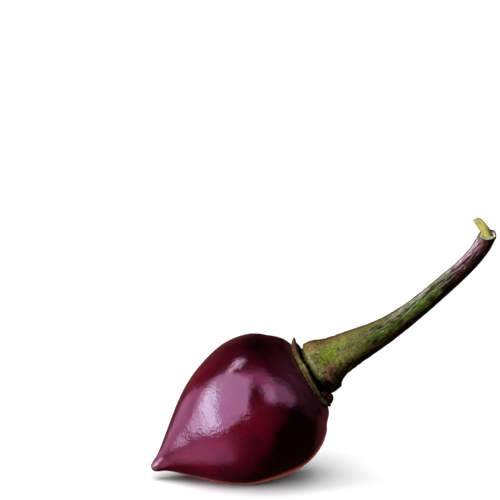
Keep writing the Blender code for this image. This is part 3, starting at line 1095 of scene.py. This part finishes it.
    def shaft(self) -> tuple[Tube, Array]:
        """Works out the bark.

        Returns:
            The bark with its paint, and the middle of the cut.
        """
        line, radii = self.line()
        share, angles, rows = self.share, self.angles, np.ones(self.sides)
        forward = unit(np.gradient(line, axis=0))
        outward = unit(np.cross(BEHIND, forward))
        side = np.cross(forward, outward)
        length = walked_along(line)
        round_way = [np.outer(radii, np.cos(angles)), np.outer(radii, np.sin(angles))]
        skin = np.stack([*round_way, np.outer(length, rows)], axis=-1)
        crease, edge = self.creased(radii)
        crease = crease * np.clip(0.75 + self.breaks.at(skin[..., ::-1]), 0.0, 1.0)
        dots = self.dotted(length[-1], radii)
        around = radii[:, None] + self.relief(skin, radii)
        around += self.edge_height * edge - self.crease_depth * crease + self.dot_height * dots
        across = np.cos(angles)[:, None] * outward[:, None] + np.sin(angles)[:, None] * side[:, None]
        points = line[:, None] + around[..., None] * across
        normal = unit(self.cut_normal)
        sheared = 1 - smooth_step(np.arange(self.rings)[::-1], 0, self.cut_shear_rings)
        slide = -sheared[:, None] * ((points - line[:, None]) @ normal) / (forward @ normal)[:, None]
        points += slide[..., None] * forward[:, None]
        traits = {paint.name: paint.cover(share, angles) for paint in self.paints}
        chalk = 0.5 * smooth_step(share, *self.chalk_span)[:, None] * edge
        chalk = chalk * np.clip(self.chalk.at(skin[..., ::-1]), 0.0, 1.0)
        traits["bloom_and_sheen"] = np.maximum(traits["bloom_and_sheen"], chalk)
        traits["plum"] = np.outer(smooth_step(share, *self.plum_span), rows)
        # The creases, which the bark paints with shade.
        traits["crease"] = np.minimum(1.0, 1.05 * crease)
        traits["dots"] = dots
        traits["foot"] = np.outer(1 - smooth_step(share, *self.shaft_span), rows)
        traits["flaky"] = np.outer(0.85 * smooth_step(share, *self.flaky_span), 1 - self.calm.at(angles))
        traits.update(across_x=skin[..., 0], across_y=skin[..., 1], length=0.22 * skin[..., 2])
        return Tube("stalk", points, line[0], line[-1], traits), line[-1]

    def build(self) -> tuple[Object, Array]:
        """Makes the stalk with its cut end.

        Returns:
            The stalk's object, and the middle of its cut.
        """
        tube, cut = self.shaft()
        rim = tube.rings[-1]
        lip = np.clip(np.cos(self.angles - self.lip_direction), 0.0, 1.0) ** self.lip_sharpness
        lip = lip * (1 + self.lip_waves.at(rim))
        share, height, rise = smooth_curve(self.cut_section, self.cut_rings).T[..., None]
        face = cut + share[..., None] * (rim - cut)
        face = face + (height + self.lip * rise * lip + share * self.cut_grain.at(rim))[..., None] * UP
        tube.rings = np.concatenate([tube.rings[:-1], face])
        tube.end = cut + self.cut_section[-1][1] * UP
        tube.traits = {
            name: np.concatenate([values[:-1], np.repeat(values[-1:], self.cut_rings, axis=0)])
            for name, values in tube.traits.items()
        }
        bark_rows = ((self.rings - 1, 0), (0, 0))
        tube.traits["pith"] = np.pad(np.outer(1.6 * (1 - share), np.ones(self.sides)), bark_rows)
        # Painted shade in olive on the cut, between the sliver's foot and the lip.
        olive = np.outer(hump(share - 0.55, 0.2), self.cut_shade.at(self.angles))
        tube.traits["olive"] = np.pad(olive, bark_rows)
        change = self.rings - 1 + self.bark_rings
        made = tube.build(self.pod.tip, self.bark.material(), self.flesh.material(), change=change)
        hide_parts("stem")
        return made, cut


@dataclass
class Sliver:
    """The torn strap of tissue that stands on the cut and bends over to the left."""

    pod: Pod
    cut: Array
    flesh: CutFlesh = CutFlesh()
    # Right of, behind and above the middle of the cut.
    route: Rows = (
        (0.12, 0.25, -0.8), (0.01, 0.3, 0.25), (-0.6, 0.3, 1.22), (-1.12, 0.25, 1.86), (-1.56, 0.15, 2.36),
    )
    width: float = 1.20
    thickness: float = 0.5
    across: Place = (0.86, 0.0, 0.5)
    rings: int = 90
    sides: int = 72
    # Share of the width at shares of the length.
    taper: Rows = ((0.0, 0.9), (0.25, 1.0), (0.6, 1.03), (0.85, 0.98), (0.95, 0.8), (1.0, 0.5))
    flatness: float = 0.8
    cup: float = 0.10
    # Shares of the length between which it cups, thins out, frays and turns dry, and its olive painted shade
    # ends.
    cup_span: Span = (0.3, 0.7)
    thin_span: Span = (0.8, 1.0)
    ragged_span: Span = (0.72, 1.0)
    dry_span: Span = (0.84, 1.0)
    dry_left_span: Span = (0.4, 0.9)
    olive_shade_span: Span = (0.36, 0.60)
    ribs: Grain = Grain(0.05, 0.22, 61.0, 2)
    ragged: Grain = Grain(0.16, 0.3, 67.0, 2)

    def build(self) -> Object:
        """Makes the sliver.

        Returns:
            The sliver's object.
        """
        line = self.cut + smooth_curve(self.route, self.rings)
        angles, rows = turn_angles(self.sides), np.ones(self.sides)
        right, back = np.cos(angles), np.sin(angles)
        share = np.linspace(0.0, 1.0, self.rings)
        wide = np.interp(share, *zip(*self.taper)) * 0.5 * self.width
        thick = 0.5 * self.thickness * (1 - 0.5 * smooth_step(share, *self.thin_span))
        even = np.ones((self.rings, 1))
        fibre = np.stack([even * right, even * back, np.outer(0.5 * share, rows)], axis=-1)
        rib = self.ribs.at(fibre)
        cupped = self.cup * np.outer(smooth_step(share, *self.cup_span), right**2)
        sideways = (wide[:, None] + rib) * np.sign(right) * np.abs(right) ** self.flatness
        backward = (thick[:, None] + rib) * back - cupped
        points = line[:, None] + sideways[..., None] * unit(self.across) + backward[..., None] * BEHIND
        torn = self.ragged.at(fibre) * smooth_step(share, *self.ragged_span)[:, None]
        points += torn[..., None] * unit(np.gradient(line, axis=0))[:, None]
        dry_end = np.outer(smooth_step(share, *self.dry_span), rows)
        dry_left = np.outer(smooth_step(share, *self.dry_left_span), 0.7 * smooth_step(-right, 0.55, 0.95))
        traits = {
            "sliver": np.ones((self.rings, self.sides)),
            "ash": np.maximum(dry_end, dry_left),
            # Olive painted shade on the sliver's foot, on its right side.
            "olive": np.outer(1 - smooth_step(share, *self.olive_shade_span), smooth_step(right, -0.1, 0.9)),
            "across_x": np.outer(wide, right),
            "across_y": np.outer(thick, back),
            "length": np.outer(0.35 * share, rows),
        }
        tube = Tube("torn_sliver", points, line[0], line[-1], traits)
        made = tube.build(self.pod.tip, self.flesh.material())
        return made


@dataclass
class Pepper:
    """The whole pepper, built from its pod outwards."""

    pod: Pod = field(default_factory=Pod)

    def build(self) -> list[Object]:
        """Makes every piece and hangs it on the body.

        Returns:
            The pieces, in the order that they were made.
        """
        pieces = [self.pod.build(), Calyx(self.pod).build(), Bead(self.pod).build()]
        stalk, cut = Stalk(self.pod).build()
        pieces += [stalk, Sliver(self.pod, cut).build()]
        for piece in pieces:
            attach(piece, BODY)
            log.info("%s: %d faces", piece.name, len(piece.data.polygons))
        return pieces


# Studio


@dataclass(frozen=True)
class Panel:
    """A soft light cut to shape: its brightness, and the directions of its corners as seen from the pepper.

    Each corner is an azimuth and an elevation in degrees, counted round a shape without dents. Azimuth 0
    is on the viewer's side and 90 on the right. The edges fade over soft degrees, or each over its own
    number of them, the first from the first corner to the second. It shows as a reflection, or washes the
    pieces with light, or both.
    """

    name: str
    glow: float
    soft: Union[float, tuple[float, ...]]
    corners: Rows
    colour: Colour = (1.0, 1.0, 1.0)
    shine: bool = True
    wash: bool = False
    # How far it hangs from the pepper, in metres.
    distance: float = 1.2

    @property
    def fades(self) -> tuple[float, ...]:
        """The fade of each edge as a tangent."""
        each = self.soft if isinstance(self.soft, tuple) else (self.soft,) * len(self.corners)
        return tuple(math.tan(math.radians(degrees)) for degrees in each)

    def toward(self, azimuth: float, elevation: float) -> Vector:
        """The unit direction from the pepper at these angles in degrees."""
        turn, rise = math.radians(azimuth), math.radians(elevation)
        return Vector((math.sin(turn) * math.cos(rise), -math.cos(turn) * math.cos(rise), math.sin(rise)))

    def hang(self, target: Vector, receivers: bpy.types.Collection) -> Object:
        """Makes the light.

        Args:
            target: What it faces.
            receivers: What it lights.

        Returns:
            The light's object.
        """
        rays = [self.toward(*corner) for corner in self.corners]
        middle = sum(rays, Vector()).normalized()
        facing = (-middle).to_track_quat("-Z", "Y")
        axes = [facing @ Vector((1.0, 0.0, 0.0)), facing @ Vector((0.0, 1.0, 0.0))]
        flat = [Vector([ray @ axis for axis in axes]) / (ray @ middle) for ray in rays]
        half = [max(abs(point[axis]) for point in flat) + max(self.fades) for axis in (0, 1)]
        data = bpy.data.lights.new(self.name, "AREA")
        data.shape = "RECTANGLE"
        data.size, data.size_y = (2 * self.distance * reach for reach in half)
        data.energy = math.pi * self.glow * data.size * data.size_y
        data.color = self.colour
        made = add_object(self.name, data)
        made.location = target + middle * self.distance
        made.rotation_mode = "QUATERNION"
        made.rotation_quaternion = facing
        made.visible_camera = False
        made.visible_glossy = self.shine
        made.visible_diffuse = self.wash
        made.light_linking.receiver_collection = receivers
        self.cut(data, flat, axes, made.location)
        return made

    def cut(self, light: bpy.types.Light, flat: list[Vector], axes: list[Vector], centre: Vector) -> None:
        """Fades the light out beyond each edge of its shape.

        Args:
            light: The light.
            flat: The corners on the light's plane, at a distance of 1.
            axes: The plane's own right and up.
            centre: The light's centre.
        """
        graph = Graph(light)
        spot = graph.add("NewGeometry")
        inner = sum(flat, Vector((0.0, 0.0))) / len(flat)
        strength = 1.0
        for start, end, fade in zip(flat, (*flat[1:], flat[0]), self.fades):
            across = Vector((start[1] - end[1], end[0] - start[0])).normalized()
            if across @ (inner - start) < 0:
                across = -across
            slope = (across[0] * axes[0] + across[1] * axes[1]) / self.distance
            depth = graph.add("VectorMath", spot, slope, operation="DOT_PRODUCT")
            zero = slope @ centre + across @ start
            strength = graph.times(graph.range(depth, zero - fade / 2, zero + fade / 2), strength)
        graph.feed(graph.tree.nodes["Emission"].inputs["Strength"], strength)


def square(azimuth: float, elevation: float, wide: float, high: float) -> Rows:
    """The corners of an upright light of this size in degrees."""
    sides = ((-1, -1), (1, -1), (1, 1), (-1, 1))
    return tuple((azimuth + x * wide / 2, elevation + y * high / 2) for x, y in sides)


def softbox(name: str, glow: float, soft: float, *place: float) -> Panel:
    """An upright light that washes the pieces and doesn't show in them."""
    return Panel(name, glow, soft, square(*place), shine=False, wash=True)


POD_PANELS = (
    Panel("window", 15.5, (2.5, 2.5, 2.5, 2.5, 3, 4, 8, 5),
          ((-93, 20), (-87, 24), (-77, 23), (-62, 12), (-53, -6), (-55, -16), (-61, -19), (-80, 3)),
          (0.44, 1, 0.65)),
    Panel("window_foot", 4.2, 7, ((-89, -4), (-82, -2), (-68, -12), (-70, -17), (-86, -13)),
          (0.5, 1, 0.74)),
    Panel("sheet", 6.5, (18, 22, 30, 16, 16, 8, 12, 22),
          ((-99, 24), (-84, 42), (-50, 54), (-14, 50), (-18, 30), (-22, -3), (-42, -20), (-92, -18)),
          (1, 0.9, 0.94)),
    Panel("far_sheet", 2.7, (14, 12, 26, 18, 20),
          ((-138, 5), (-120, 16), (-92, 27), (-88, -19), (-126, -12)), (1, 0.48, 0.75)),
    Panel("upper_haze", 3.3, 28, ((-78, 40), (-62, 68), (-10, 70), (50, 66), (64, 46), (10, 40), (-30, 40)),
          (1, 0.42, 0.56)),
    Panel("second_sheet", 2.9, 18,
          ((6, 46), (6, 18), (30, 14), (66, 14), (80, 26), (82, 38), (45, 50), (10, 54)), (1, 0.64, 0.8)),
    Panel("second_window", 3.6, 16, ((11, 42), (9, 18), (20, 14), (34, 40)), (0.95, 1, 0.8)),
    Panel("streak", 13.5, 7, ((-99, 64), (-92, 71), (-81, 67), (-77, 50), (-80, 38), (-90, 42)),
          (1, 0.98, 0.84)),
    Panel("low_glow", 2.7, (24, 24, 34, 30, 24, 24, 24),
          ((-92, -20), (-60, -22), (-30, -30), (-26, -48), (-40, -64), (-70, -66), (-98, -48)),
          (1, 0.38, 0.54)),
    Panel("right_haze", 0.45, 34, ((64, 14), (104, -4), (124, 30), (110, 62), (64, 56)), (1, 0.35, 0.45)),
    Panel("under_rim", 0.4, 14, ((-206, -14), (-152, -14), (-158, -40), (-202, -44)), (1, 0.22, 0.14)),
    Panel("right_rim", 0.17, 14, ((116, -4), (168, -4), (168, -28), (116, -28)), (1, 0.2, 0.2)),
    Panel("left_rim", 0.17, 16, square(-158, 4, 36, 36), (1, 0.3, 0.28)),
    softbox("pod_key", 14, 6, -60, 10, 36, 36),
    softbox("pod_fill", 1.6, 10, 150, 35, 50, 40),
)
STALK_PANELS = (
    softbox("stalk_key", 12.5, 6, -46, 24, 44, 44),
    Panel("stalk_glint", 6.5, 7, ((-64, 22), (-42, 20), (-38, 6), (-62, 4)), (1, 0.93, 0.93)),
    Panel("stalk_sheen", 9.5, 8,
          ((-126, 16), (-120, 38), (-102, 58), (-84, 54), (-74, 38), (-70, 20), (-78, 8), (-108, 6)),
          (1, 0.98, 0.91)),
    softbox("stalk_fill", 1.4, 10, 140, 30, 50, 40),
)
FLOOR_PANELS = (
    Panel("overhead", 3.6, 16, ((129, 63), (-114, 52), (-42, 43), (26, 49)), wash=True, distance=3),
    Panel("floor_fill", 3.2, 10, square(10, 35, 80, 34), wash=True, distance=3),
)


@dataclass
class Studio:
    """The pale floor, the soft lights and the camera."""

    # What the camera and the lights are aimed at.
    target: Place = (2.06, 0.0, 32.08)
    heart: Place = (1.5, 0.0, 10.5)
    elevation: float = math.radians(12)
    # The camera's distance, the width that it shows there and the floor's half width, in metres.
    distance: float = 0.6
    shown: float = 0.0675
    floor_reach: float = 3.0
    sensor: float = 36.0
    clip: Span = (0.05, 20.0)
    rim_glow: Colour = (0.050, 0.013, 0.011)
    room_glow: Colour = (0.030, 0.030, 0.032)

    def build(self, pod: Sequence[Object], rest: Sequence[Object]) -> None:
        """Makes the room, the floor, the lights and the camera.

        Args:
            pod: The glossy pieces.
            rest: The dull pieces.
        """
        floor = self.lay_floor()
        lit = {"pod": (pod, POD_PANELS), "stalk": (rest, STALK_PANELS), "floor": ([floor], FLOOR_PANELS)}
        for name, (pieces, panels) in lit.items():
            group = bpy.data.collections.new("lit_" + name)
            for piece in pieces:
                group.objects.link(piece)
            for panel in panels:
                panel.hang(Vector(self.heart) * MM, group)
        self.paint_room()
        self.set_camera()
        view = bpy.context.scene.view_settings
        view.view_transform = "Standard"
        view.look = "None"

    def lay_floor(self) -> Object:
        """Makes the floor, which shows shadows and sends no light back.

        Returns:
            The floor's object.
        """
        reach = self.floor_reach
        mesh = bpy.data.meshes.new("floor")
        corners = [(-reach, -reach, 0), (reach, -reach, 0), (reach, reach, 0), (-reach, reach, 0)]
        mesh.from_pydata(corners, [], [(0, 1, 2, 3)])
        mesh.materials.append(PaleFloor().material())
        floor = add_object("floor", mesh)
        floor.visible_diffuse = False
        floor.visible_glossy = False
        floor.visible_shadow = False
        return floor

    def paint_room(self) -> None:
        """Makes a white room behind the pepper, which lights it only faintly and warmly."""
        world = bpy.data.worlds.new("room")
        graph = Graph(world)
        glossy, seen = (graph.add("LightPath", out=f"Is {kind} Ray") for kind in ("Glossy", "Camera"))
        colour = graph.over(glossy, self.room_glow, self.rim_glow)
        colour = graph.over(seen, colour, (1.0, 1.0, 1.0))
        graph.feed(graph.tree.nodes["Background"].inputs["Color"], colour)
        bpy.context.scene.world = world

    def set_camera(self) -> None:
        """Makes the camera and aims it."""
        data = bpy.data.cameras.new("camera")
        data.sensor_width = self.sensor
        data.lens = self.sensor * self.distance / self.shown
        data.clip_start, data.clip_end = self.clip
        camera = add_object("camera", data)
        back = Vector((0.0, -math.cos(self.elevation), math.sin(self.elevation)))
        camera.location = Vector(self.target) * MM + back * self.distance
        camera.rotation_mode = "QUATERNION"
        camera.rotation_quaternion = (-back).to_track_quat("-Z", "Y")
        bpy.context.scene.camera = camera


def main() -> None:
    """Builds the pepper and the studio round it."""
    logging.basicConfig(level=logging.INFO, format="%(name)s: %(message)s")
    pieces = Pepper().build()
    Studio().build(pieces[:1], pieces[1:])


if __name__ == "__main__":
    main()
